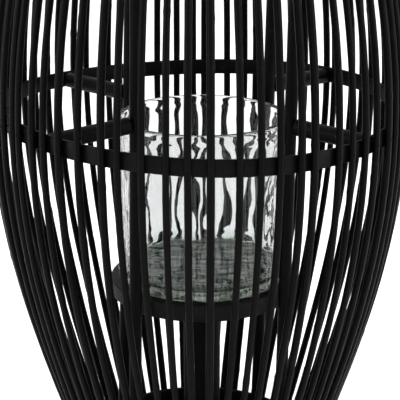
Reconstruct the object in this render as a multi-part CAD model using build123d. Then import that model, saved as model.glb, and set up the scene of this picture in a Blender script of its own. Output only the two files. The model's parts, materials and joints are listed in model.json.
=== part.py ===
from build123d import *
import math
import os
import random

# Candle lantern: a barrel-shaped cage of bowed cane sticks around a wooden inner frame,
# with a glass cylinder standing on a tray at its middle. Millimetres, +Z up, origin at the
# centre of the base on the floor. Azimuths are in degrees from the front (-Y) towards +X.

# Cage
BODY_HEIGHT = 564.0
MID_Z = BODY_HEIGHT / 2
MAX_RADIUS = 147.6
NECK_RADIUS = 87.2
BEND_HALF_HEIGHT = 268.0
STICK_COUNT = 64
STICKS_PER_NODE = 2
STICK_MIN_RADIUS = 2.15
STICK_MAX_RADIUS = 2.6
STICK_END_MARGIN = 2.0
STICK_PATH_POINTS = 9
FIRST_STICK_AZIMUTH = -2.6
HAND_SEED = 33643410
MID_SCATTER = 1.6
END_SCATTER = 1.0

# Hoops: bent flat strips inside the sticks
STRIP_HEIGHT = 12.0
STRIP_THICKNESS = 3.0
STICK_GAP = 0.15
END_HOOP_INSET = 12.0
MID_HOOP_WAVE = 2.4
MID_HOOP_WAVE_AZIMUTH = -72.0
MID_HOOP_POINTS = 16
MID_HOOP_SEAM_AZIMUTH = 160.0
MID_HOOP_SEAM_HALF_GAP = 0.1

# Base, tray and stem
BOARD_THICKNESS = 12.0
BOARD_BEVEL = 1.0
TRAY_RADIUS = 68.3
TRAY_TOP_Z = 156.4
TRAY_OFFSET = 2.0
STEM_RADIUS = 14.0

# Upright posts: foot azimuth and head azimuth, because each leans a little
POST_RADIUS = 4.5
POST_HOOP_GAP = 0.2
POSTS = {
    "front_right": (51.0, 64.0),
    "back_right": (142.0, 129.0),
    "back_left": (-126.0, -143.0),
    "front_left": (-38.5, -31.0),
}

# Spokes from the posts to the middle hoop: outer azimuth, then the height of the outer
# and inner ends above the middle of the cage
SPOKE_RADIUS = 6.0
SPOKE_END_GAP = 0.4
SPOKES = {
    "front_right": (53.5, -2.1, -1.2),
    "back_right": (135.5, 3.1, 6.5),
    "back_left": (-133.0, 1.0, 0.0),
    "front_left": (-47.0, 1.0, 5.8),
}

# Nails and screws
BRAD_RADIUS = 0.6
BRAD_HEAD_RADIUS = 1.2
BRAD_HEAD_THICKNESS = 0.6
BRAD_DEPTH = 2.0
NAIL_RADIUS = 0.9
NAIL_HEAD_RADIUS = 1.8
NAIL_HEAD_THICKNESS = 0.6
NAIL_SPOKE_DEPTH = 14.0
SCREW_RADIUS = 2.5
SCREW_HEAD_RADIUS = 4.5
SCREW_LENGTH = 45.0
SCREW_SINK = 0.5

# Glass cylinder
GLASS_RADIUS = 62.4
GLASS_HEIGHT = 122.8
GLASS_WALL = 3.5
GLASS_FLOOR = 6.0
GLASS_OUTER_FILLET = 3.0
GLASS_INNER_FILLET = 5.0
GLASS_LIP_FILLET = 1.4

# Carrying handle: a bent cane bail on two pins in the top hoop
BAIL_RADIUS = 3.5
BAIL_SPAN_RADIUS = 70.5
BAIL_LEG = 42.0
BAIL_LEG_END = 9.0
BAIL_REST_LEAN = 61.0
PIN_RADIUS = 1.5
PIN_RUNNING_GAP = 0.05
PIN_HEAD_RADIUS = 3.0
PIN_HEAD_THICKNESS = 1.2
BEAD_RADIUS = 4.0
BEAD_SIDE_GAP = 0.2


def cage_radius(z):
    """Radius of the stick centres at a height above the floor."""
    phase = math.pi * (z - MID_Z) / (2 * BEND_HALF_HEIGHT)
    return NECK_RADIUS + (MAX_RADIUS - NECK_RADIUS) * math.cos(phase)


def cage_slope(z):
    """Change of the cage's radius with height."""
    rate = math.pi / (2 * BEND_HALF_HEIGHT)
    return -(MAX_RADIUS - NECK_RADIUS) * rate * math.sin(rate * (z - MID_Z))


def polar(radius, azimuth, z):
    """Point at a radius and an azimuth from the front."""
    angle = math.radians(azimuth)
    return Vector(radius * math.sin(angle), -radius * math.cos(angle), z)


def inner_clear_radius(z):
    """Largest radius that stays inside every stick at a height."""
    tilt = math.hypot(1.0, cage_slope(z))
    return cage_radius(z) - STICK_MAX_RADIUS * tilt - STICK_GAP


TOP_HOOP_Z = BODY_HEIGHT - END_HOOP_INSET - STRIP_HEIGHT / 2
BASE_HOOP_Z = END_HOOP_INSET + STRIP_HEIGHT / 2
END_HOOP_OUTER = inner_clear_radius(BODY_HEIGHT - END_HOOP_INSET)
END_HOOP_INNER = END_HOOP_OUTER - STRIP_THICKNESS
MID_HOOP_OUTER = MAX_RADIUS - STICK_MAX_RADIUS - STICK_GAP
MID_HOOP_INNER = MID_HOOP_OUTER - STRIP_THICKNESS
BASE_RADIUS = inner_clear_radius(0.0)
POST_CIRCLE = END_HOOP_INNER - POST_HOOP_GAP - POST_RADIUS
TRAY_CENTRE = Vector(TRAY_OFFSET, 0, 0)


def rod(start, end, radius):
    """Straight round rod between two points."""
    plane = Plane(origin=start, z_dir=end - start)
    return extrude(plane * Circle(radius), (end - start).length)


def headed_pin(head, direction, length, radius, head_radius, head_thickness):
    """Round pin whose head starts at a point and whose shank runs along a direction."""
    along = direction.normalized()
    shank = rod(head, head + along * length, radius)
    return rod(head, head + along * head_thickness, head_radius) + shank


def board(radius, bottom_z, centre):
    """Round plywood board with bevelled edges."""
    plane = Plane(origin=(centre.X, centre.Y, bottom_z))
    disc = extrude(plane * Circle(radius), BOARD_THICKNESS)
    return chamfer(disc.edges(), BOARD_BEVEL)


class Stick:
    """One cane stick: its own thickness and its hand-made share of uneven spacing."""

    def __init__(self, index, hand):
        self.azimuth = FIRST_STICK_AZIMUTH + index * 360.0 / STICK_COUNT
        self.mid_shift = hand.uniform(-MID_SCATTER, MID_SCATTER)
        self.top_shift = hand.uniform(-END_SCATTER, END_SCATTER)
        self.foot_shift = hand.uniform(-END_SCATTER, END_SCATTER)
        middle = (STICK_MIN_RADIUS + STICK_MAX_RADIUS) / 2
        self.radius = middle + hand.uniform(-1.0, 1.0) * (STICK_MAX_RADIUS - middle)

    def azimuth_at(self, z):
        end_share = ((z - MID_Z) / MID_Z) ** 2
        end_shift = self.top_shift if z > MID_Z else self.foot_shift
        return self.azimuth + self.mid_shift * (1 - end_share) + end_shift * end_share

    def point_at(self, z):
        return polar(cage_radius(z), self.azimuth_at(z), z)

    def solid(self):
        span = BODY_HEIGHT - 2 * STICK_END_MARGIN
        heights = [
            STICK_END_MARGIN + span * step / (STICK_PATH_POINTS - 1)
            for step in range(STICK_PATH_POINTS)
        ]
        path = Spline(*[self.point_at(z) for z in heights])
        sections = []
        for step in range(STICK_PATH_POINTS):
            share = step / (STICK_PATH_POINTS - 1)
            plane = Plane(origin=path @ share, z_dir=path % share)
            sections.append(plane * Circle(self.radius))
        return loft(sections)

    def brad(self, z):
        """Brad driven inwards through the stick into the hoop behind it."""
        azimuth = self.azimuth_at(z)
        head_face = cage_radius(z) + self.radius * math.hypot(1.0, cage_slope(z))
        head = polar(head_face + BRAD_HEAD_THICKNESS, azimuth, z)
        inwards = polar(-1.0, azimuth, 0.0)
        length = head_face + BRAD_HEAD_THICKNESS - inner_clear_radius(z) + BRAD_DEPTH
        return headed_pin(
            head, inwards, length, BRAD_RADIUS, BRAD_HEAD_RADIUS, BRAD_HEAD_THICKNESS
        )


def make_sticks():
    hand = random.Random(HAND_SEED)
    return [Stick(index, hand) for index in range(STICK_COUNT)]


def end_hoop(middle_z):
    """Flat strip bent round inside the sticks near one end of the cage."""
    plane = Plane(origin=(0, 0, middle_z - STRIP_HEIGHT / 2))
    return extrude(plane * (Circle(END_HOOP_OUTER) - Circle(END_HOOP_INNER)), STRIP_HEIGHT)


def mid_hoop_height(azimuth):
    """The middle hoop waves up and down twice round the cage."""
    phase = math.radians(2 * (azimuth - MID_HOOP_WAVE_AZIMUTH))
    return MID_Z + MID_HOOP_WAVE * math.cos(phase)


def mid_hoop():
    """A strip bent right round, whose ends meet at a seam at the back."""
    centre_radius = MID_HOOP_OUTER - STRIP_THICKNESS / 2
    start = MID_HOOP_SEAM_AZIMUTH + MID_HOOP_SEAM_HALF_GAP
    turn = 360.0 - 2 * MID_HOOP_SEAM_HALF_GAP
    points = []
    for step in range(MID_HOOP_POINTS + 1):
        azimuth = start + turn * step / MID_HOOP_POINTS
        points.append(polar(centre_radius, azimuth, mid_hoop_height(azimuth)))
    path = Spline(*points)
    plane = Plane(origin=path @ 0, x_dir=polar(1.0, start, 0.0), z_dir=path % 0)
    return sweep(plane * Rectangle(STRIP_THICKNESS, STRIP_HEIGHT), path=path)


def post_axis(name):
    """Foot and head of a post's centre line."""
    foot_azimuth, head_azimuth = POSTS[name]
    foot = polar(POST_CIRCLE, foot_azimuth, BOARD_THICKNESS)
    head = polar(POST_CIRCLE, head_azimuth, TOP_HOOP_Z + STRIP_HEIGHT / 2)
    return foot, head


def post_point(name, z):
    foot, head = post_axis(name)
    return foot + (head - foot) * ((z - foot.Z) / (head.Z - foot.Z))


def post(name):
    foot, head = post_axis(name)
    upright = Vector(0, 0, 1)
    leaning = Plane(origin=foot, z_dir=upright) * Circle(POST_RADIUS)
    return extrude(leaning, dir=head - foot, amount=(head - foot).length)


def spoke_axis(name):
    """Outer and inner end of a spoke's centre line.

    The ends are cut square, so the outer one stops where its leading edge clears the hoop.
    """
    azimuth, outer_rise, inner_rise = SPOKES[name]
    aim = polar(MID_HOOP_INNER, azimuth, MID_Z + outer_rise)
    target = post_point(name, MID_Z + inner_rise)
    inwards = (target - aim).normalized()
    slant = inwards.cross(polar(1.0, azimuth, 0.0)).length
    outer = aim + inwards * (SPOKE_END_GAP + SPOKE_RADIUS * slant)
    inner = target - inwards * (POST_RADIUS + SPOKE_END_GAP)
    return outer, inner


def spoke(name):
    outer, inner = spoke_axis(name)
    return rod(outer, inner, SPOKE_RADIUS)


def spoke_nails(name):
    """One nail through the hoop and one through the post, each into the spoke's end."""
    outer, inner = spoke_axis(name)
    inwards = (inner - outer).normalized()
    azimuth, outer_rise, inner_rise = SPOKES[name]
    hoop_head = polar(MID_HOOP_OUTER, azimuth, MID_Z + outer_rise)
    post_head = inner + inwards * (2 * POST_RADIUS + SPOKE_END_GAP)
    sizes = (NAIL_RADIUS, NAIL_HEAD_RADIUS, NAIL_HEAD_THICKNESS)
    return [
        headed_pin(hoop_head, inwards, NAIL_SPOKE_DEPTH, *sizes),
        headed_pin(post_head, -inwards, 2 * POST_RADIUS + NAIL_SPOKE_DEPTH, *sizes),
    ]


def post_nail(name, z):
    """Nail through an end hoop into the post behind it, its head flush with the hoop."""
    centre = post_point(name, z)
    inwards = Vector(-centre.X, -centre.Y, 0).normalized()
    head = Vector(0, 0, z) - inwards * END_HOOP_OUTER
    length = STRIP_THICKNESS + POST_HOOP_GAP + POST_RADIUS * 1.5
    return headed_pin(
        head, inwards, length, NAIL_RADIUS, NAIL_HEAD_RADIUS, NAIL_HEAD_THICKNESS
    )


def stem():
    plane = Plane(origin=(TRAY_OFFSET, 0, BOARD_THICKNESS))
    height = TRAY_TOP_Z - 2 * BOARD_THICKNESS
    return extrude(plane * Circle(STEM_RADIUS), height)


def wood_screw(head, direction):
    """Countersunk wood screw sunk just below a board's face."""
    along = Vector(0, 0, direction)
    top = head + along * SCREW_SINK
    cone_height = SCREW_HEAD_RADIUS - SCREW_RADIUS
    cone = Plane(origin=top + along * cone_height / 2, z_dir=along) * Cone(
        SCREW_HEAD_RADIUS, SCREW_RADIUS, cone_height
    )
    return cone + rod(top + along * cone_height, top + along * SCREW_LENGTH, SCREW_RADIUS)


def sunk_head_hole(head, direction):
    """Countersunk recess above a wood screw's head."""
    along = Vector(0, 0, direction)
    return rod(head, head + along * SCREW_SINK, SCREW_HEAD_RADIUS)


def glass():
    """Thick-floored glass cylinder standing on the tray."""
    outside = Plane(origin=(TRAY_OFFSET, 0, TRAY_TOP_Z))
    inside = Plane(origin=(TRAY_OFFSET, 0, TRAY_TOP_Z + GLASS_FLOOR))
    outer = extrude(outside * Circle(GLASS_RADIUS), GLASS_HEIGHT)
    outer = fillet(outer.edges().sort_by(Axis.Z)[0], GLASS_OUTER_FILLET)
    inner = extrude(inside * Circle(GLASS_RADIUS - GLASS_WALL), GLASS_HEIGHT)
    inner = fillet(inner.edges().sort_by(Axis.Z)[0], GLASS_INNER_FILLET)
    cup = outer - inner
    lip = cup.edges().filter_by(GeomType.CIRCLE).group_by(Axis.Z)[-1]
    return fillet(lip, GLASS_LIP_FILLET)


def leaned(shape):
    """Tip the upright bail back about its pins to where it rests."""
    pivot = Axis((0, 0, TOP_HOOP_Z), (1, 0, 0))
    return shape.rotate(pivot, -BAIL_REST_LEAN)


def bail():
    """Bent cane arch with an eye near the end of each leg."""
    low = TOP_HOOP_Z - BAIL_LEG_END
    shoulder = TOP_HOOP_Z + BAIL_LEG
    span = BAIL_SPAN_RADIUS
    left_leg = Line((-span, 0, low), (-span, 0, shoulder))
    arch = ThreePointArc((-span, 0, shoulder), (0, 0, shoulder + span), (span, 0, shoulder))
    right_leg = Line((span, 0, shoulder), (span, 0, low))
    path = Wire([left_leg, arch, right_leg])
    upright = sweep(Plane(origin=(-span, 0, low), z_dir=(0, 0, 1)) * Circle(BAIL_RADIUS), path=path)
    for side in (-1, 1):
        eye_start = Vector(side * (span - 2 * BAIL_RADIUS), 0, TOP_HOOP_Z)
        eye_end = Vector(side * (span + 2 * BAIL_RADIUS), 0, TOP_HOOP_Z)
        upright -= rod(eye_start, eye_end, PIN_RADIUS + PIN_RUNNING_GAP)
    return leaned(upright)


def bail_pin(side):
    """Pin from inside a bail leg, through its bead and the top hoop."""
    head = Vector(side * (BAIL_SPAN_RADIUS - BAIL_RADIUS - PIN_HEAD_THICKNESS - 0.1), 0, TOP_HOOP_Z)
    length = END_HOOP_OUTER - abs(head.X)
    return headed_pin(
        head, Vector(side, 0, 0), length, PIN_RADIUS, PIN_HEAD_RADIUS, PIN_HEAD_THICKNESS
    )


def bail_bead(side):
    """Wooden bead that keeps a bail leg clear of the top hoop."""
    inner = BAIL_SPAN_RADIUS + BAIL_RADIUS + BEAD_SIDE_GAP
    outer = math.sqrt(END_HOOP_INNER ** 2 - BEAD_RADIUS ** 2) - BEAD_SIDE_GAP
    start = Vector(side * inner, 0, TOP_HOOP_Z)
    end = Vector(side * outer, 0, TOP_HOOP_Z)
    return rod(start, end, BEAD_RADIUS) - rod(start, end, PIN_RADIUS)


def save(name, solids):
    """Write one node, a single solid or a group of separate solids, as a STEP file."""
    shape = solids[0] if len(solids) == 1 else Compound(children=solids)
    export_step(shape, os.path.join("parts", name + ".step"))


def main():
    os.makedirs("parts", exist_ok=True)
    floor_centre = Vector(0, 0, 0)
    base_screw = Vector(TRAY_OFFSET, 0, 0)
    tray_screw = Vector(TRAY_OFFSET, 0, TRAY_TOP_Z)
    base = board(BASE_RADIUS, 0.0, floor_centre)
    tray = board(TRAY_RADIUS, TRAY_TOP_Z - BOARD_THICKNESS, TRAY_CENTRE)
    save("base_disc", [base - sunk_head_hole(base_screw, 1)])
    save("tray_disc", [tray - sunk_head_hole(tray_screw, -1)])
    save("tray_stem", [stem()])
    save("stem_screws", [wood_screw(base_screw, 1), wood_screw(tray_screw, -1)])
    save("base_hoop", [end_hoop(BASE_HOOP_Z)])
    save("mid_hoop", [mid_hoop()])
    save("top_hoop", [end_hoop(TOP_HOOP_Z)])

    for name in POSTS:
        save("post_" + name, [post(name)])
        save("spoke_" + name, [spoke(name)])
    save("spoke_nails", [nail for name in SPOKES for nail in spoke_nails(name)])
    save("post_nails", [post_nail(name, z) for name in POSTS for z in (BASE_HOOP_Z, TOP_HOOP_Z)])

    sticks = make_sticks()
    for first in range(0, STICK_COUNT, STICKS_PER_NODE):
        number = first // STICKS_PER_NODE + 1
        group = [stick.solid() for stick in sticks[first:first + STICKS_PER_NODE]]
        save(f"stick_pair_{number:02d}", group)
    save("base_brads", [stick.brad(BASE_HOOP_Z) for stick in sticks])
    save("mid_brads", [stick.brad(MID_Z) for stick in sticks])
    save("top_brads", [stick.brad(TOP_HOOP_Z) for stick in sticks])

    save("glass_cylinder", [glass()])
    save("bail_handle", [bail()])
    save("bail_pins", [bail_pin(side) for side in (-1, 1)])
    save("bail_beads", [bail_bead(side) for side in (-1, 1)])


main()
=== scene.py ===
import json
import math
import random

import bmesh
import bpy
from mathutils import Matrix, Vector, noise


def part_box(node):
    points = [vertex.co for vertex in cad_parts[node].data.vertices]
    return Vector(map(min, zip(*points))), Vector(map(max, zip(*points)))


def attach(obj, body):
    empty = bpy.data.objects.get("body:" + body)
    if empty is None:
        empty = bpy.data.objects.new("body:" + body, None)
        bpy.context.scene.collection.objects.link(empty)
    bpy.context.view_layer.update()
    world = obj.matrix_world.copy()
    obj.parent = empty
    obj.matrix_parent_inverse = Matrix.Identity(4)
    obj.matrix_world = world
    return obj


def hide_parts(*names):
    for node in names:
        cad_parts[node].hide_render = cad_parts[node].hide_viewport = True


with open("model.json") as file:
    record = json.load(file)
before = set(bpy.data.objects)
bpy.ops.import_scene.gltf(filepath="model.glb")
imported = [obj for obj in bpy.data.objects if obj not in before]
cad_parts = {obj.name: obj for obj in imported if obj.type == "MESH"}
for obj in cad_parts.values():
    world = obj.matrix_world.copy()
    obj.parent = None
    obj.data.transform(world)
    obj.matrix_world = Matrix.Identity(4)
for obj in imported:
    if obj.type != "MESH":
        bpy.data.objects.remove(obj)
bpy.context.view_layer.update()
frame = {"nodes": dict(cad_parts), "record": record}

# Candle lantern: a cage of bowed black cane sticks round a rippled glass cylinder on a tray.
# Metres, in the frame's own axes: +Z up, the front faces -Y. Azimuths are in degrees from
# the front towards +X.

# ---------------------------------------------------------------- sizes from the frame

MM = 0.001

MID_HOOP_LOW, MID_HOOP_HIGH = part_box("mid_hoop")
BASE_HOOP_LOW, BASE_HOOP_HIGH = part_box("base_hoop")
TOP_HOOP_LOW, TOP_HOOP_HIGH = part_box("top_hoop")
TRAY_LOW, TRAY_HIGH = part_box("tray_disc")
GLASS_LOW, GLASS_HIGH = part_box("glass_cylinder")
STEM_LOW, STEM_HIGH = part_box("tray_stem")
BASE_LOW, BASE_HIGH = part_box("base_disc")
MID_Z = (MID_HOOP_LOW[2] + MID_HOOP_HIGH[2]) / 2
BASE_HOOP_Z = (BASE_HOOP_LOW[2] + BASE_HOOP_HIGH[2]) / 2
TOP_HOOP_Z = (TOP_HOOP_LOW[2] + TOP_HOOP_HIGH[2]) / 2
BODY_HEIGHT = 2 * MID_Z
STRIP_HEIGHT = BASE_HOOP_HIGH[2] - BASE_HOOP_LOW[2]

# Thicknesses, as in the CAD model
STRIP_THICKNESS = 3.0 * MM
GLASS_WALL = 3.5 * MM
GLASS_FLOOR = 6.0 * MM

# The sticks' shape and their hand-made scatter in degrees, as in the CAD model
MAX_RADIUS = 147.6 * MM
NECK_RADIUS = 87.2 * MM
BEND_HALF_HEIGHT = 268.0 * MM
STICK_COUNT = 64
STICKS_PER_NODE = 2
STICK_MIN_RADIUS = 2.15 * MM
STICK_MAX_RADIUS = 2.6 * MM
STICK_END_MARGIN = 2.0 * MM
FIRST_STICK_AZIMUTH = -2.6
HAND_SEED = 33643410
MID_SCATTER = 1.6
END_SCATTER = 1.0

# The middle hoop lies inside the sticks, at their widest
HOOP_TO_STICK_GAP = 0.15 * MM
MID_HOOP_OUTER = MAX_RADIUS - STICK_MAX_RADIUS - HOOP_TO_STICK_GAP
MID_HOOP_INNER = MID_HOOP_OUTER - STRIP_THICKNESS


def polar(radius, azimuth, z):
    """Point at a radius, an azimuth in degrees and a height."""
    angle = math.radians(azimuth)
    return Vector((radius * math.sin(angle), -radius * math.cos(angle), z))


def cage_radius(z):
    """Radius of the sticks' middle line: widest at the middle hoop, with a cosine bow."""
    bend = math.pi * (z - MID_Z) / (2 * BEND_HALF_HEIGHT)
    return NECK_RADIUS + (MAX_RADIUS - NECK_RADIUS) * math.cos(bend)


# ---------------------------------------------------------------- camera and light

# The photograph's view: a long lens, a little above the lantern and looking down on it
CAMERA_PLACE = (0.0, -0.985, 0.5269)
CAMERA_LENS = 126.0
CAMERA_DOWN = 17.63
CAMERA_TURN = -0.033
SOFTBOX_SIZE = (0.7, 1.4)
SOFTBOX_POWER = 22.0
OVERHEAD_SIZE = (2.4, 2.4)
OVERHEAD_POWER = 28.0
FLOOR_HALF_SIZE = 6.0


def add_camera():
    data = bpy.data.cameras.new("camera")
    data.sensor_width = 36.0
    data.lens = CAMERA_LENS
    camera = bpy.data.objects.new("camera", data)
    camera.location = CAMERA_PLACE
    camera.rotation_euler = (math.radians(90.0 - CAMERA_DOWN), 0.0, math.radians(CAMERA_TURN))
    bpy.context.scene.collection.objects.link(camera)
    bpy.context.scene.camera = camera


def add_area_light(name, place, size, power):
    """Softbox that faces the lantern's middle."""
    data = bpy.data.lights.new(name, "AREA")
    data.shape = "RECTANGLE"
    data.size, data.size_y = size
    data.energy = power
    lamp = bpy.data.objects.new(name, data)
    lamp.location = place
    aim = Vector((0.0, 0.0, MID_Z)) - Vector(place)
    lamp.rotation_euler = aim.to_track_quat("-Z", "Y").to_euler()
    bpy.context.scene.collection.objects.link(lamp)


def add_light():
    world = bpy.data.worlds.new("studio")
    world.use_nodes = True
    sky = world.node_tree.nodes["Background"]
    sky.inputs["Color"].default_value = (1.0, 1.0, 1.0, 1.0)
    sky.inputs["Strength"].default_value = 1.0
    bpy.context.scene.world = world
    bpy.context.scene.view_settings.view_transform = "Standard"
    add_area_light("left_softbox", (-1.5, -0.6, 0.9), SOFTBOX_SIZE, SOFTBOX_POWER)
    add_area_light("right_softbox", (1.5, -0.6, 0.9), SOFTBOX_SIZE, SOFTBOX_POWER)
    add_area_light("overhead", (0.0, 0.9, 2.2), OVERHEAD_SIZE, OVERHEAD_POWER)


def add_floor():
    mesh = bpy.data.meshes.new("floor")
    shape = bmesh.new()
    bmesh.ops.create_grid(shape, x_segments=1, y_segments=1, size=FLOOR_HALF_SIZE)
    shape.to_mesh(mesh)
    shape.free()
    floor = bpy.data.objects.new("floor", mesh)
    bpy.context.scene.collection.objects.link(floor)
    material = bpy.data.materials.new("floor_paper")
    material.use_nodes = True
    surface = material.node_tree.nodes["Principled BSDF"]
    surface.inputs["Base Color"].default_value = (0.97, 0.97, 0.97, 1.0)
    surface.inputs["Roughness"].default_value = 0.9
    surface.inputs["Specular IOR Level"].default_value = 0.0
    mesh.materials.append(material)


# ---------------------------------------------------------------- materials

WORN_BROWN = (0.03, 0.02, 0.013, 1.0)
# The Mix node names its sockets alike for every data type, so its colours go by number
MIX_FIRST_COLOUR = 6
MIX_SECOND_COLOUR = 7
MIX_COLOUR_RESULT = 2
GREEN_FADE = 12.0 * MM


def node_link(tree, source, output, target, entry):
    tree.links.new(source.outputs[output], target.inputs[entry])


def black_wood(name, dark, light, grain, roughness, specular, bump, wear):
    """Black stained wood: stretched grain, uneven sheen, and a little brown wear."""
    material = bpy.data.materials.new(name)
    material.use_nodes = True
    tree = material.node_tree
    surface = tree.nodes["Principled BSDF"]
    surface.inputs["Specular IOR Level"].default_value = specular
    place = tree.nodes.new("ShaderNodeTexCoord")
    stretch = tree.nodes.new("ShaderNodeMapping")
    stretch.inputs["Scale"].default_value = grain
    node_link(tree, place, "Object", stretch, "Vector")
    fibre = tree.nodes.new("ShaderNodeTexNoise")
    fibre.inputs["Scale"].default_value = 1.0
    fibre.inputs["Detail"].default_value = 6.0
    fibre.inputs["Roughness"].default_value = 0.6
    node_link(tree, stretch, "Vector", fibre, "Vector")
    patch = tree.nodes.new("ShaderNodeTexNoise")
    patch.inputs["Scale"].default_value = 55.0
    patch.inputs["Detail"].default_value = 3.0
    node_link(tree, place, "Object", patch, "Vector")
    tint = tree.nodes.new("ShaderNodeValToRGB")
    tint.color_ramp.elements[0].position = 0.3
    tint.color_ramp.elements[0].color = (*dark, 1.0)
    tint.color_ramp.elements[1].position = 0.75
    tint.color_ramp.elements[1].color = (*light, 1.0)
    node_link(tree, fibre, "Fac", tint, "Fac")
    worn = tree.nodes.new("ShaderNodeValToRGB")
    worn.color_ramp.elements[0].position = 0.66
    worn.color_ramp.elements[0].color = (0.0, 0.0, 0.0, 1.0)
    worn.color_ramp.elements[1].position = 0.82
    worn.color_ramp.elements[1].color = (wear, wear, wear, 1.0)
    node_link(tree, patch, "Fac", worn, "Fac")
    blend = tree.nodes.new("ShaderNodeMix")
    blend.data_type = "RGBA"
    node_link(tree, worn, "Color", blend, "Factor")
    node_link(tree, tint, "Color", blend, MIX_FIRST_COLOUR)
    blend.inputs[MIX_SECOND_COLOUR].default_value = WORN_BROWN
    node_link(tree, blend, MIX_COLOUR_RESULT, surface, "Base Color")
    gloss = tree.nodes.new("ShaderNodeMapRange")
    gloss.inputs["To Min"].default_value = roughness - 0.1
    gloss.inputs["To Max"].default_value = roughness + 0.12
    node_link(tree, patch, "Fac", gloss, "Value")
    node_link(tree, gloss, "Result", surface, "Roughness")
    relief = tree.nodes.new("ShaderNodeBump")
    relief.inputs["Strength"].default_value = bump
    relief.inputs["Distance"].default_value = 0.0006
    node_link(tree, fibre, "Fac", relief, "Height")
    node_link(tree, relief, "Normal", surface, "Normal")
    return material


def plywood_edge(name):
    """Black painted plywood: the glued layers show faintly in the edge."""
    material = black_wood(
        name, dark=(0.0018, 0.0018, 0.0018), light=(0.005, 0.0048, 0.0046),
        grain=(60.0, 260.0, 60.0), roughness=0.42, specular=0.08, bump=0.35, wear=0.25
    )
    tree = material.node_tree
    wood_relief = next(node for node in tree.nodes if node.bl_idname == "ShaderNodeBump")
    place = tree.nodes.new("ShaderNodeTexCoord")
    layers = tree.nodes.new("ShaderNodeTexWave")
    layers.wave_type = "BANDS"
    layers.bands_direction = "Z"
    layers.inputs["Scale"].default_value = 110.0
    layers.inputs["Distortion"].default_value = 1.4
    layers.inputs["Detail"].default_value = 3.0
    node_link(tree, place, "Object", layers, "Vector")
    relief = tree.nodes.new("ShaderNodeBump")
    relief.inputs["Strength"].default_value = 0.35
    relief.inputs["Distance"].default_value = 0.0004
    node_link(tree, layers, "Fac", relief, "Height")
    node_link(tree, wood_relief, "Normal", relief, "Normal")
    node_link(tree, relief, "Normal", tree.nodes["Principled BSDF"], "Normal")
    return material


def metal(name, colour, roughness, metallic):
    """Speckled metal, or with metallic at 0 the black paint on it."""
    material = bpy.data.materials.new(name)
    material.use_nodes = True
    tree = material.node_tree
    surface = tree.nodes["Principled BSDF"]
    surface.inputs["Metallic"].default_value = metallic
    surface.inputs["Specular IOR Level"].default_value = 0.5 if metallic else 0.05
    spots = tree.nodes.new("ShaderNodeTexNoise")
    spots.inputs["Scale"].default_value = 900.0
    spots.inputs["Detail"].default_value = 4.0
    tint = tree.nodes.new("ShaderNodeValToRGB")
    duller = [part * 0.6 for part in colour]
    tint.color_ramp.elements[0].color = (*duller, 1.0)
    tint.color_ramp.elements[1].color = (*colour, 1.0)
    node_link(tree, spots, "Fac", tint, "Fac")
    node_link(tree, tint, "Color", surface, "Base Color")
    gloss = tree.nodes.new("ShaderNodeMapRange")
    gloss.inputs["To Min"].default_value = roughness - 0.1
    gloss.inputs["To Max"].default_value = roughness + 0.15
    node_link(tree, spots, "Fac", gloss, "Value")
    node_link(tree, gloss, "Result", surface, "Roughness")
    relief = tree.nodes.new("ShaderNodeBump")
    relief.inputs["Strength"].default_value = 0.3
    relief.inputs["Distance"].default_value = 0.0002
    node_link(tree, spots, "Fac", relief, "Height")
    node_link(tree, relief, "Normal", surface, "Normal")
    return material


def rippled_glass(name, mirror, clear):
    """Pressed glass, with a fine ripple on top of the mesh's own waves."""
    material = bpy.data.materials.new(name)
    material.use_nodes = True
    tree = material.node_tree
    surface = tree.nodes["Principled BSDF"]
    surface.inputs["Transmission Weight"].default_value = clear
    surface.inputs["IOR"].default_value = 1.5
    surface.inputs["Specular Tint"].default_value = (*mirror, 1.0)
    surface.inputs["Roughness"].default_value = 0.02
    place = tree.nodes.new("ShaderNodeTexCoord")
    stretch = tree.nodes.new("ShaderNodeMapping")
    stretch.inputs["Scale"].default_value = (0.8, 0.8, 1.1)
    node_link(tree, place, "Object", stretch, "Vector")
    ripple = tree.nodes.new("ShaderNodeTexNoise")
    ripple.inputs["Scale"].default_value = 120.0
    ripple.inputs["Detail"].default_value = 2.0
    node_link(tree, stretch, "Vector", ripple, "Vector")
    relief = tree.nodes.new("ShaderNodeBump")
    relief.inputs["Strength"].default_value = 0.07
    relief.inputs["Distance"].default_value = 0.0005
    node_link(tree, ripple, "Fac", relief, "Height")
    node_link(tree, relief, "Normal", surface, "Normal")
    return material


def add_green_foot(material, low_tint, high_tint):
    """Glass that is greener just above its floor and clears upwards."""
    tree = material.node_tree
    place = tree.nodes.new("ShaderNodeTexCoord")
    height = tree.nodes.new("ShaderNodeSeparateXYZ")
    node_link(tree, place, "Object", height, "Vector")
    rise = tree.nodes.new("ShaderNodeMapRange")
    rise.inputs["From Min"].default_value = GLASS_LOW[2] + GLASS_FLOOR
    rise.inputs["From Max"].default_value = GLASS_LOW[2] + GLASS_FLOOR + GREEN_FADE
    node_link(tree, height, "Z", rise, "Value")
    tint = tree.nodes.new("ShaderNodeValToRGB")
    tint.color_ramp.elements[0].color = (*low_tint, 1.0)
    tint.color_ramp.elements[1].color = (*high_tint, 1.0)
    node_link(tree, rise, "Result", tint, "Fac")
    node_link(tree, tint, "Color", tree.nodes["Principled BSDF"], "Base Color")


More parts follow.
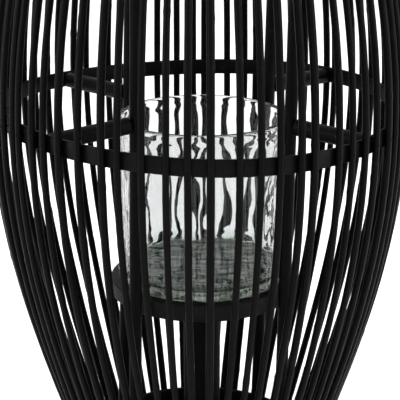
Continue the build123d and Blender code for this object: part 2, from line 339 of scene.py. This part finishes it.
def add_painted_ripple_streaks(material):
    """Lying streaks of lighter and darker green in the thick base: the green is the glass's own,
    and the light and dark streaks are painted reflections of its ripples.
    """
    tree = material.node_tree
    place = tree.nodes.new("ShaderNodeTexCoord")
    stretch = tree.nodes.new("ShaderNodeMapping")
    stretch.inputs["Scale"].default_value = (38.0, 150.0, 320.0)
    node_link(tree, place, "Object", stretch, "Vector")
    streak = tree.nodes.new("ShaderNodeTexNoise")
    streak.inputs["Scale"].default_value = 1.0
    streak.inputs["Detail"].default_value = 4.0
    streak.inputs["Distortion"].default_value = 0.8
    node_link(tree, stretch, "Vector", streak, "Vector")
    # The dark and light ends of this ramp are painted reflections of the base's ripples, not
    # streaks in the glass itself
    tint = tree.nodes.new("ShaderNodeValToRGB")
    tint.color_ramp.elements[0].position = 0.40
    tint.color_ramp.elements[0].color = (0.07, 0.12, 0.07, 1.0)
    tint.color_ramp.elements[1].position = 0.62
    tint.color_ramp.elements[1].color = (0.90, 0.96, 0.90, 1.0)
    node_link(tree, streak, "Fac", tint, "Fac")
    node_link(tree, tint, "Color", tree.nodes["Principled BSDF"], "Base Color")


CANE = black_wood(
    "black_cane", dark=(0.0009, 0.0009, 0.0009), light=(0.0024, 0.0023, 0.0022),
    grain=(900.0, 900.0, 40.0), roughness=0.36, specular=0.045, bump=0.3, wear=0.2
)
ROD = black_wood(
    "black_rod", dark=(0.0011, 0.0011, 0.0011), light=(0.003, 0.0029, 0.0028),
    grain=(500.0, 500.0, 60.0), roughness=0.40, specular=0.05, bump=0.35, wear=0.2
)
STRIP = black_wood(
    "black_strip", dark=(0.0014, 0.0014, 0.0014), light=(0.0036, 0.0035, 0.0034),
    grain=(60.0, 60.0, 900.0), roughness=0.40, specular=0.06, bump=0.4, wear=0.25
)
STEM_WOOD = black_wood(
    "black_turned_wood", dark=(0.0012, 0.0012, 0.0012), light=(0.003, 0.0029, 0.0029),
    grain=(240.0, 240.0, 30.0), roughness=0.55, specular=0.04, bump=0.3, wear=0.2
)
PLYWOOD = plywood_edge("black_plywood")
NAIL = metal("painted_nail", (0.0028, 0.0027, 0.0026), roughness=0.45, metallic=0.0)
STEEL = metal("zinc_steel", (0.45, 0.44, 0.42), roughness=0.35, metallic=1.0)
GLASS = rippled_glass("rippled_glass", mirror=(0.4, 0.41, 0.4), clear=1.0)
add_green_foot(GLASS, low_tint=(0.38, 0.46, 0.39), high_tint=(0.69, 0.70, 0.70))
FLOOR_GLASS = rippled_glass("thick_green_glass", mirror=(0.9, 1.0, 0.92), clear=0.74)
# Streaks of painted ripple reflections in the thick base's colour
add_painted_ripple_streaks(FLOOR_GLASS)


# ---------------------------------------------------------------- mesh building

# A turned outline keeps this far from its axis, which leaves a hole too fine to see
AXIS_HOLE = 0.4 * MM


def add_piece(name, shape, material, body, nodes):
    """Turn a bmesh into a smooth-shaded piece that rides a body and stands for CAD nodes."""
    bmesh.ops.recalc_face_normals(shape, faces=shape.faces)
    mesh = bpy.data.meshes.new(name)
    shape.to_mesh(mesh)
    shape.free()
    mesh.materials.append(material)
    for face in mesh.polygons:
        face.use_smooth = True
    piece = bpy.data.objects.new(name, mesh)
    bpy.context.scene.collection.objects.link(piece)
    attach(piece, body)
    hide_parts(*nodes)
    return piece


def loft(shape, rings, closed_along=False):
    """Skin a list of rings of points with quads, and cap both ends unless it closes on itself."""
    loops = [[shape.verts.new(point) for point in ring] for ring in rings]
    count = len(loops[0])
    steps = len(loops) if closed_along else len(loops) - 1
    for step in range(steps):
        here = loops[step]
        there = loops[(step + 1) % len(loops)]
        for spot in range(count):
            after = (spot + 1) % count
            shape.faces.new((here[spot], here[after], there[after], there[spot]))
    if not closed_along:
        shape.faces.new(reversed(loops[0]))
        shape.faces.new(loops[-1])


def ring_about(centre, along, radius, sides, start):
    """Points of a circle round a centre, square to a direction, from a start direction."""
    first = (start - along * start.dot(along)).normalized()
    second = along.cross(first)
    points = []
    for side in range(sides):
        angle = 2 * math.pi * side / sides
        points.append(centre + (first * math.cos(angle) + second * math.sin(angle)) * radius)
    return points


def add_tube(shape, path, radius_at, sides, start, round_end):
    """Tube along a path of points, with its two ends slightly rounded over."""
    rings = []
    last = len(path) - 1
    for step, centre in enumerate(path):
        along = (path[min(step + 1, last)] - path[max(step - 1, 0)]).normalized()
        radius = radius_at(step / last)
        if step == 0:
            rings.append(ring_about(centre, along, radius * (1 - round_end), sides, start))
            centre = centre + along * radius * round_end
        if step == last:
            shoulder = centre - along * radius * round_end
            rings.append(ring_about(shoulder, along, radius, sides, start))
            radius = radius * (1 - round_end)
        rings.append(ring_about(centre, along, radius, sides, start))
    loft(shape, rings)


def add_lathe(shape, outline, centre, segments, wobble=None):
    """Turn a closed outline of (radius, height) points about a vertical axis.

    wobble gives how far a point moves outwards and upwards, from its azimuth, radius, height
    and number along the outline.
    """
    rings = []
    for segment in range(segments):
        azimuth = 360.0 * segment / segments
        ring = []
        for spot, (radius, z) in enumerate(outline):
            outwards, upwards = wobble(azimuth, radius, z, spot) if wobble else (0.0, 0.0)
            ring.append(polar(radius + outwards, azimuth, z + upwards) + centre)
        rings.append(ring)
    loft(shape, rings, closed_along=True)


def arc_points(centre, radius, first, last, count):
    """Flat arc of count steps about a (radius, height) centre, between two angles in degrees."""
    points = []
    for step in range(count + 1):
        angle = math.radians(first + (last - first) * step / count)
        across = centre[0] + radius * math.cos(angle)
        up = centre[1] + radius * math.sin(angle)
        points.append((across, up))
    return points


# ---------------------------------------------------------------- cane sticks

class Stick:
    """One cane stick, with the same hand-made scatter as the CAD model's."""

    def __init__(self, index, hand):
        self.azimuth = FIRST_STICK_AZIMUTH + index * 360.0 / STICK_COUNT
        self.mid_shift = hand.uniform(-MID_SCATTER, MID_SCATTER)
        self.top_shift = hand.uniform(-END_SCATTER, END_SCATTER)
        self.foot_shift = hand.uniform(-END_SCATTER, END_SCATTER)
        middle = (STICK_MIN_RADIUS + STICK_MAX_RADIUS) / 2
        self.radius = middle + hand.uniform(-1.0, 1.0) * (STICK_MAX_RADIUS - middle)

    def azimuth_at(self, z):
        end_share = ((z - MID_Z) / MID_Z) ** 2
        end_shift = self.top_shift if z > MID_Z else self.foot_shift
        return self.azimuth + self.mid_shift * (1 - end_share) + end_shift * end_share

    def point_at(self, z):
        return polar(cage_radius(z), self.azimuth_at(z), z)


def make_sticks():
    hand = random.Random(HAND_SEED)
    return [Stick(index, hand) for index in range(STICK_COUNT)]


STICKS = make_sticks()
STICK_LOOK_SEED = 20000
STICK_RINGS = 150
STICK_SIDES = 12
# The real sticks look a little thicker than the CAD model's
STICK_FULLNESS = 1.06
STICK_TAPER = 0.04
STICK_SWAY = 0.4 * MM
STICK_LUMPS = 0.05
# Nodes of the cane: a swollen ring with a groove beside it
NODE_SPACING = 0.155
NODE_WIDTH = 2.2 * MM
NODE_SWELL = 0.11
GROOVE_DEPTH = 0.05
GROOVE_OFFSET = 2.2


def add_stick(shape, stick, grow):
    """Tapered cane with ringed nodes, slight waves and small knocks."""
    span = BODY_HEIGHT - 2 * STICK_END_MARGIN
    nodes = []
    height = grow.uniform(0.02, NODE_SPACING)
    while height < span:
        nodes.append(height)
        height += NODE_SPACING * grow.uniform(0.82, 1.2)
    wave_seed = Vector((grow.uniform(0, 50), grow.uniform(0, 50), 0.0))
    taper = grow.choice((-1.0, 1.0)) * STICK_TAPER
    path = []
    for step in range(STICK_RINGS):
        share = step / (STICK_RINGS - 1)
        z = STICK_END_MARGIN + span * share
        sway = noise.noise(wave_seed + Vector((0.0, 0.0, share * 9.0))) * STICK_SWAY
        side = polar(1.0, stick.azimuth_at(z) + 90.0, 0.0)
        path.append(stick.point_at(z) + side * sway)

    def radius_at(share):
        swell = 0.0
        for node in nodes:
            offset = (share * span - node) / NODE_WIDTH
            swell += NODE_SWELL * math.exp(-offset * offset)
            swell -= GROOVE_DEPTH * math.exp(-((offset - GROOVE_OFFSET) ** 2) * 2.0)
        lumps = noise.noise(wave_seed + Vector((3.0, 0.0, share * 40.0))) * STICK_LUMPS
        return stick.radius * (STICK_FULLNESS + taper * (share - 0.5) + swell + lumps)

    add_tube(shape, path, radius_at, STICK_SIDES, polar(1.0, stick.azimuth, 0.0), round_end=0.3)


def build_sticks():
    for first in range(0, STICK_COUNT, STICKS_PER_NODE):
        number = first // STICKS_PER_NODE + 1
        shape = bmesh.new()
        for index in range(first, first + STICKS_PER_NODE):
            add_stick(shape, STICKS[index], random.Random(STICK_LOOK_SEED + index))
        node = "stick_pair_%02d" % number
        add_piece("cane_sticks_%02d" % number, shape, CANE, "lantern", [node])


# ---------------------------------------------------------------- hoops

HOOP_SEGMENTS = 240
HOOP_ARRIS = 0.9 * MM
HOOP_BOW = 0.105 * MM
HOOP_EDGE_WEAR = 0.3 * MM
# The middle hoop was bent on by hand: it sits a little high, tilts, and waves twice round
HOOP_LIFT = 1.7 * MM
HOOP_TILT = 1.8 * MM
HOOP_TILT_AZIMUTH = 37.0
HOOP_WAVE = 2.9 * MM
HOOP_WAVE_AZIMUTH = 25.0


def add_hoop(shape, outer_radius, middle_at, seed):
    """Bent strip with softened arrises and slightly uneven edges, round the lantern's axis."""
    top = STRIP_HEIGHT / 2 - HOOP_ARRIS
    outside = outer_radius - HOOP_ARRIS
    inside = outer_radius - STRIP_THICKNESS + HOOP_ARRIS
    corners = [(outside, top), (inside, top), (inside, -top), (outside, -top)]
    outline = []
    for number, corner in enumerate(corners):
        outline += arc_points(corner, HOOP_ARRIS, 90.0 * number, 90.0 * (number + 1), 3)
    rings = []
    for segment in range(HOOP_SEGMENTS):
        azimuth = 360.0 * segment / HOOP_SEGMENTS
        middle = middle_at(azimuth)
        where = polar(4.0, azimuth, seed)
        bow = noise.noise(where * 3.0) * HOOP_BOW
        ring = []
        for radius, height in outline:
            sign = 1.0 if height > 0 else -1.0
            edge = noise.noise(where * 4.0 + Vector((0, 0, sign))) * HOOP_EDGE_WEAR
            ring.append(polar(radius + bow, azimuth, middle + height - sign * abs(edge)))
        rings.append(ring)
    loft(shape, rings, closed_along=True)


def mid_hoop_height(azimuth):
    """Height of the bent-on middle hoop at an azimuth."""
    tilt = HOOP_TILT * math.cos(math.radians(azimuth - HOOP_TILT_AZIMUTH))
    wave = HOOP_WAVE * math.cos(math.radians(2 * (azimuth - HOOP_WAVE_AZIMUTH)))
    return MID_Z + HOOP_LIFT - tilt - wave


def level_at(z):
    """Height at any azimuth of a hoop that lies level."""
    return lambda azimuth: z


# Each hoop's outer radius, and the height of its middle at an azimuth
HOOPS = {
    "base": (BASE_HOOP_HIGH[0], level_at(BASE_HOOP_Z)),
    "top": (TOP_HOOP_HIGH[0], level_at(TOP_HOOP_Z)),
    "mid": (MID_HOOP_OUTER, mid_hoop_height),
}


def build_hoops():
    for number, (name, (radius, middle_at)) in enumerate(HOOPS.items()):
        shape = bmesh.new()
        add_hoop(shape, radius, middle_at, 5.0 * number)
        add_piece(name + "_hoop_strip", shape, STRIP, "lantern", [name + "_hoop"])


# ---------------------------------------------------------------- posts and spokes

POST_RADIUS = 4.5 * MM
POST_TO_HOOP_GAP = 0.2 * MM
POST_CIRCLE = TOP_HOOP_HIGH[0] - STRIP_THICKNESS - POST_TO_HOOP_GAP - POST_RADIUS
# Azimuths of each post's foot and head
POSTS = {
    "front_right": (51.0, 64.0),
    "back_right": (142.0, 129.0),
    "back_left": (-126.0, -143.0),
    "front_left": (-38.5, -31.0),
}
SPOKE_RADIUS = 6.0 * MM
SPOKE_END_GAP = 0.4 * MM
# Azimuth of each spoke at the hoop, and how far its two ends are above the middle height
SPOKES = {
    "front_right": (53.5, -2.1 * MM, -1.2 * MM),
    "back_right": (135.5, 3.1 * MM, 6.5 * MM),
    "back_left": (-133.0, 1.0 * MM, 0.0),
    "front_left": (-47.0, 1.0 * MM, 5.8 * MM),
}
ROD_RINGS = 60
ROD_SIDES = 24
ROD_FULLNESS = 0.985
ROD_WAVES = 0.025


def post_point(name, z):
    """Point on a post's middle line at a height."""
    low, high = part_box("post_" + name)
    foot_azimuth, head_azimuth = POSTS[name]
    share = (z - low[2]) / (high[2] - low[2])
    foot = polar(POST_CIRCLE, foot_azimuth, z)
    head = polar(POST_CIRCLE, head_azimuth, z)
    return foot.lerp(head, share)


def add_rod(shape, start, end, radius, seed, round_end):
    """Straight wooden rod whose thickness waves slightly along it."""
    path = [start.lerp(end, step / (ROD_RINGS - 1)) for step in range(ROD_RINGS)]

    def radius_at(share):
        wave = noise.noise(Vector((seed, 7.0, share * 12.0))) * ROD_WAVES
        return radius * (ROD_FULLNESS + wave)

    lies_flat = abs((end - start).z) < 0.5 * (end - start).length
    side = Vector((0, 0, 1)) if lies_flat else Vector((1, 0, 0))
    add_tube(shape, path, radius_at, ROD_SIDES, side, round_end)


def build_posts():
    for number, name in enumerate(POSTS):
        low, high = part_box("post_" + name)
        shape = bmesh.new()
        start = post_point(name, low[2])
        end = post_point(name, high[2])
        add_rod(shape, start, end, POST_RADIUS, seed=11.0 + number, round_end=0.2)
        add_piece("post_rod_" + name, shape, ROD, "lantern", ["post_" + name])


def spoke_axis(name):
    """Middle points of a spoke's two ends, just clear of the hoop and of the post."""
    azimuth, outer_rise, inner_rise = SPOKES[name]
    aim = polar(MID_HOOP_INNER, azimuth, MID_Z + outer_rise)
    target = post_point(name, MID_Z + inner_rise)
    inwards = (target - aim).normalized()
    slant = inwards.cross(polar(1.0, azimuth, 0.0)).length
    outer = aim + inwards * (SPOKE_END_GAP + SPOKE_RADIUS * slant)
    return outer, target - inwards * (POST_RADIUS + SPOKE_END_GAP)


def build_spokes():
    for number, name in enumerate(SPOKES):
        outer, inner = spoke_axis(name)
        shape = bmesh.new()
        add_rod(shape, outer, inner, SPOKE_RADIUS, seed=31.0 + number, round_end=0.3)
        add_piece("spoke_rod_" + name, shape, ROD, "lantern", ["spoke_" + name])


# ---------------------------------------------------------------- boards and stem

BOARD_ARRIS = 1.6 * MM
BOARD_WEAR = 0.5 * MM
BOARD_SEGMENTS = 160
STEM_ARRIS = 1.0 * MM
STEM_RINGS = 30
STEM_SEGMENTS = 96
LATHE_MARK = 0.06 * MM


def build_board(name, node, low, high):
    """Round board with softened, slightly uneven arrises."""
    centre = Vector(((low[0] + high[0]) / 2, (low[1] + high[1]) / 2, 0.0))
    radius = (high[0] - low[0]) / 2
    turn = radius - BOARD_ARRIS
    outline = [(AXIS_HOLE, low[2]), (radius * 0.5, low[2])]
    outline += arc_points((turn, low[2] + BOARD_ARRIS), BOARD_ARRIS, -90.0, 0.0, 5)
    outline += arc_points((turn, high[2] - BOARD_ARRIS), BOARD_ARRIS, 0.0, 90.0, 5)
    outline += [(radius * 0.5, high[2]), (AXIS_HOLE, high[2])]

    def wobble(azimuth, at, z, spot):
        if at < radius * 0.9:
            return 0.0, 0.0
        return -abs(noise.noise(polar(3.0, azimuth, z * 300.0))) * BOARD_WEAR, 0.0

    shape = bmesh.new()
    add_lathe(shape, outline, centre, BOARD_SEGMENTS, wobble)
    add_piece(name, shape, PLYWOOD, "lantern", [node])


def build_stem():
    """Turned stem under the tray, with faint lathe marks."""
    centre = Vector(((STEM_LOW[0] + STEM_HIGH[0]) / 2, 0.0, 0.0))
    radius = (STEM_HIGH[0] - STEM_LOW[0]) / 2
    low, high = STEM_LOW[2], STEM_HIGH[2]
    turn = radius - STEM_ARRIS
    outline = [(AXIS_HOLE, low)]
    outline += arc_points((turn, low + STEM_ARRIS), STEM_ARRIS, -90.0, 0.0, 3)
    for step in range(1, STEM_RINGS):
        share = step / STEM_RINGS
        mark = math.sin(share * 120.0) * LATHE_MARK
        outline.append((radius - 0.1 * MM + mark, low + (high - low) * share))
    outline += arc_points((turn, high - STEM_ARRIS), STEM_ARRIS, 0.0, 90.0, 3)
    outline.append((AXIS_HOLE, high))
    shape = bmesh.new()
    add_lathe(shape, outline, centre, STEM_SEGMENTS)
    add_piece("turned_stem", shape, STEM_WOOD, "lantern", ["tray_stem"])


# ---------------------------------------------------------------- glass

GLASS_SEGMENTS = 288
GLASS_RINGS = 84
FLOOR_RINGS = 30
RIM_STEPS = 10
# Heights of the bands of lying ripples at the foot and under the rim
FOOT_BAND = 20.0 * MM
RIM_BAND = 11.0 * MM
TALL_WAVE = 0.46 * MM
FLAT_RIPPLE = 0.32 * MM
FLOOR_RIPPLE = 0.35 * MM
# The waves stand out from the wall, so it is drawn this much inside the CAD model's
WAVE_ROOM = 0.3 * MM
FOOT_ROUND = 3.0 * MM
FLOOR_ROUND = 5.0 * MM
RIM_DROP = 1.6 * MM
# The greener glass reaches this far above the floor
THICK_FOOT = 3.0 * MM
# Keeps the inner face's waves apart from the outer face's
INNER_SIDE = 40.0


def glass_wave(azimuth, z, side):
    """Pressed relief: tall lazy waves, and flat lying ripples at the foot and under the rim.

    The numbers beside the axes say how closely each wave repeats round the wall and up it.
    """
    foot = 1.0 / (1.0 + math.exp(((z - GLASS_LOW[2]) / FOOT_BAND - 1.0) * 14.0))
    rim = 1.0 / (1.0 + math.exp(((GLASS_HIGH[2] - z) / RIM_BAND - 1.0) * 8.0))
    band = max(foot, rim)
    where = polar(1.0, azimuth, 0.0)
    tall = noise.noise(Vector((where.x * 3.2 + side, where.y * 3.2, z * 27.0)))
    tall += 0.22 * noise.noise(Vector((where.x * 8.0, where.y * 8.0 + side, z * 60.0)))
    flat = noise.noise(Vector((where.x * 3.0, where.y * 3.0 - side, z * 230.0)))
    flat += 0.5 * noise.noise(Vector((where.x * 6.0 - side, where.y * 6.0, z * 420.0)))
    return tall * TALL_WAVE * (1.0 - 0.6 * band) + flat * FLAT_RIPPLE * band


def floor_wave(azimuth, radius):
    """Ripples of the thick floor, longer from side to side than from front to back."""
    where = polar(radius, azimuth, 0.0)
    wave = noise.noise(Vector((where.x * 35.0, where.y * 130.0, 3.0)))
    wave += 0.3 * noise.noise(Vector((where.x * 80.0, where.y * 240.0, 8.0)))
    return wave * FLOOR_RIPPLE


def build_glass():
    """Straight cylinder with a thick floor, turned from one outline and rippled all over."""
    low, high = GLASS_LOW[2], GLASS_HIGH[2]
    centre = Vector(((GLASS_LOW[0] + GLASS_HIGH[0]) / 2, 0.0, 0.0))
    outer = (GLASS_HIGH[0] - GLASS_LOW[0]) / 2 - WAVE_ROOM
    inner = outer - GLASS_WALL
    foot, rim, floor = low + FOOT_ROUND, high - RIM_DROP, low + GLASS_FLOOR
    edge = inner - FLOOR_ROUND
    rises = [step / GLASS_RINGS for step in range(1, GLASS_RINGS)]
    outline = [(AXIS_HOLE, low), (outer * 0.5, low)]
    outline += arc_points((outer - FOOT_ROUND, foot), FOOT_ROUND, -90.0, 0.0, 6)
    outline += [(outer, foot + (rim - foot) * rise) for rise in rises]
    rim_top = len(outline) + RIM_STEPS // 2
    outline += arc_points(((outer + inner) / 2, rim), GLASS_WALL / 2, 0.0, 180.0, RIM_STEPS)
    outline += [(inner, rim - (rim - floor - FLOOR_ROUND) * rise) for rise in rises]
    outline += arc_points((edge, floor + FLOOR_ROUND), FLOOR_ROUND, 0.0, -90.0, 6)
    outline += [(edge * (1 - step / FLOOR_RINGS), floor) for step in range(1, FLOOR_RINGS)]
    outline.append((AXIS_HOLE, floor))

    def wobble(azimuth, radius, z, spot):
        if radius < edge and z > low + GLASS_FLOOR / 2:
            return 0.0, floor_wave(azimuth, radius) * min(1.0, (edge - radius) / (4.0 * MM))
        if radius < inner * 0.97:
            return 0.0, 0.0
        below_top = max(0.0, (high - z) / (6.0 * MM))
        above_foot = max(0.0, (z - low) / (4.0 * MM))
        side = 0.0 if spot < rim_top else INNER_SIDE
        return glass_wave(azimuth, z, side) * min(1.0, below_top, above_foot), 0.0

    shape = bmesh.new()
    add_lathe(shape, outline, centre, GLASS_SEGMENTS, wobble)
    piece = add_piece("candle_glass", shape, GLASS, "glass", ["glass_cylinder"])
    piece.data.materials.append(FLOOR_GLASS)
    for face in piece.data.polygons:
        if low + MM < face.center.z < floor + THICK_FOOT:
            face.material_index = 1


# ---------------------------------------------------------------- nails, brads and screws

BRAD_LENGTH = 7.0 * MM
BRAD_RADIUS = 0.6 * MM
BRAD_HEAD_RADIUS = 1.15 * MM
BRAD_HEAD_HEIGHT = 0.6 * MM
BRAD_STAND = 0.5 * MM
NAIL_RADIUS = 0.9 * MM
NAIL_HEAD_RADIUS = 1.8 * MM
NAIL_HEAD_HEIGHT = 0.6 * MM
HOOP_TO_POST_NAIL = 10.0 * MM
HOOP_TO_SPOKE_NAIL = 14.0 * MM
# The nail through a post into its spoke has a taller head, which fills the post's round side
POST_TO_SPOKE_NAIL = 23.0 * MM
POST_TO_SPOKE_HEAD = 0.9 * MM
NAIL_SIDES = 12


def add_nail(shape, head, inwards, length, radius, head_radius, head_height):
    """Domed head on a plain shank, from the head's outermost point inwards."""
    along = inwards.normalized()
    side = Vector((0, 0, 1)) if abs(along.z) < 0.7 else Vector((1, 0, 0))
    rings = []
    for angle in (8.0, 30.0, 55.0, 80.0):
        turn = math.radians(angle)
        centre = head + along * head_height * (1.0 - math.cos(turn))
        rings.append(ring_about(centre, along, head_radius * math.sin(turn), NAIL_SIDES, side))
    shank = (
        (head_height, head_radius * 0.96), (head_height, radius),
        (length - radius, radius), (length, radius * 0.2),
    )
    for depth, width in shank:
        rings.append(ring_about(head + along * depth, along, width, NAIL_SIDES, side))
    loft(shape, rings)


def build_brads():
    """One brad through every stick into each hoop, at the hoop's own height."""
    for name in ("base", "mid", "top"):
        _, height_at = HOOPS[name]
        shape = bmesh.new()
        for stick in STICKS:
            z = height_at(stick.azimuth)
            azimuth = stick.azimuth_at(z)
            slope = (cage_radius(z + MM) - cage_radius(z - MM)) / (2 * MM)
            face = cage_radius(z) + stick.radius * math.hypot(1.0, slope)
            head = polar(face + BRAD_STAND, azimuth, z)
            inwards = polar(-1.0, azimuth, 0.0)
            add_nail(
                shape, head, inwards, BRAD_LENGTH, BRAD_RADIUS, BRAD_HEAD_RADIUS, BRAD_HEAD_HEIGHT
            )
        add_piece(name + "_brads_heads", shape, NAIL, "lantern", [name + "_brads"])


def build_nails():
    """Nails from the hoop and from the post into each spoke, and from the hoops into the posts."""
    shape = bmesh.new()
    for name in SPOKES:
        outer, inner = spoke_axis(name)
        inwards = (inner - outer).normalized()
        azimuth, outer_rise, _ = SPOKES[name]
        hoop_head = polar(MID_HOOP_INNER + STRIP_THICKNESS, azimuth, MID_Z + outer_rise)
        post_head = inner + inwards * (2 * POST_RADIUS + SPOKE_END_GAP)
        add_nail(
            shape, hoop_head, inwards, HOOP_TO_SPOKE_NAIL, NAIL_RADIUS, NAIL_HEAD_RADIUS,
            NAIL_HEAD_HEIGHT
        )
        add_nail(
            shape, post_head, -inwards, POST_TO_SPOKE_NAIL, NAIL_RADIUS, NAIL_HEAD_RADIUS,
            POST_TO_SPOKE_HEAD
        )
    add_piece("spoke_nail_set", shape, NAIL, "lantern", ["spoke_nails"])
    shape = bmesh.new()
    for name in POSTS:
        for hoop_radius, z in ((BASE_HOOP_HIGH[0], BASE_HOOP_Z), (TOP_HOOP_HIGH[0], TOP_HOOP_Z)):
            centre = post_point(name, z)
            outwards = Vector((centre.x, centre.y, 0.0)).normalized()
            head = outwards * hoop_radius + Vector((0, 0, z))
            add_nail(
                shape, head, -outwards, HOOP_TO_POST_NAIL, NAIL_RADIUS, NAIL_HEAD_RADIUS,
                NAIL_HEAD_HEIGHT
            )
    add_piece("post_nail_set", shape, NAIL, "lantern", ["post_nails"])


# ---------------------------------------------------------------- bail

BAIL_RADIUS = 3.5 * MM
BAIL_LEG = 42.0 * MM
BAIL_FOOT = 9.0 * MM
BAIL_REST_LEAN = 61.0
BAIL_LEG_STEPS = 16
BAIL_ARCH_STEPS = 80
BAIL_SIDES = 20
BAIL_FULLNESS = 0.965
BAIL_LUMPS = 0.02
# Where the cane's nodes lie along the bail, and how far they swell
BAIL_NODES = (0.17, 0.46, 0.79)
BAIL_NODE_WIDTH = 0.006
BAIL_NODE_SWELL = 0.03


def build_bail():
    """Bent cane arch on two legs, leaning back on its pins."""
    joints = {joint["name"]: joint for joint in frame["record"]["behaviour"]["joints"]}
    pivot = Vector(joints["bail_swing"]["pos_m"])
    _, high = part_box("bail_handle")
    span = high[0] - BAIL_RADIUS
    rise = (BAIL_LEG + BAIL_FOOT) / BAIL_LEG_STEPS
    flat = [Vector((-span, 0.0, rise * step - BAIL_FOOT)) for step in range(BAIL_LEG_STEPS)]
    for step in range(BAIL_ARCH_STEPS + 1):
        angle = math.pi * (1.0 - step / BAIL_ARCH_STEPS)
        flat.append(Vector((span * math.cos(angle), 0.0, BAIL_LEG + span * math.sin(angle))))
    for step in range(1, BAIL_LEG_STEPS + 1):
        flat.append(Vector((span, 0.0, BAIL_LEG - rise * step)))
    lean_back = Matrix.Rotation(-math.radians(BAIL_REST_LEAN), 4, "X")
    path = [pivot + lean_back @ point for point in flat]

    def radius_at(share):
        swell = 0.0
        for node in BAIL_NODES:
            swell += BAIL_NODE_SWELL * math.exp(-(((share - node) / BAIL_NODE_WIDTH) ** 2))
        lumps = noise.noise(Vector((2.0, 5.0, share * 30.0))) * BAIL_LUMPS
        return BAIL_RADIUS * (BAIL_FULLNESS + swell + lumps)

    shape = bmesh.new()
    add_tube(shape, path, radius_at, BAIL_SIDES, Vector((0, 1, 0.2)), round_end=0.3)
    add_piece("bail_arch", shape, CANE, "bail", ["bail_handle"])


def dress_small_parts():
    """Give the pins, beads and screws a material: they keep the CAD model's shape."""
    for node, material in (("bail_pins", STEEL), ("bail_beads", ROD), ("stem_screws", STEEL)):
        source = bpy.data.objects[frame["nodes"][node].name]
        source.data.materials.clear()
        source.data.materials.append(material)


add_camera()
add_light()
add_floor()
build_sticks()
build_hoops()
build_posts()
build_spokes()
build_board("tray_board", "tray_disc", TRAY_LOW, TRAY_HIGH)
build_board("base_board", "base_disc", BASE_LOW, BASE_HIGH)
build_stem()
build_glass()
build_brads()
build_nails()
build_bail()
dress_small_parts()
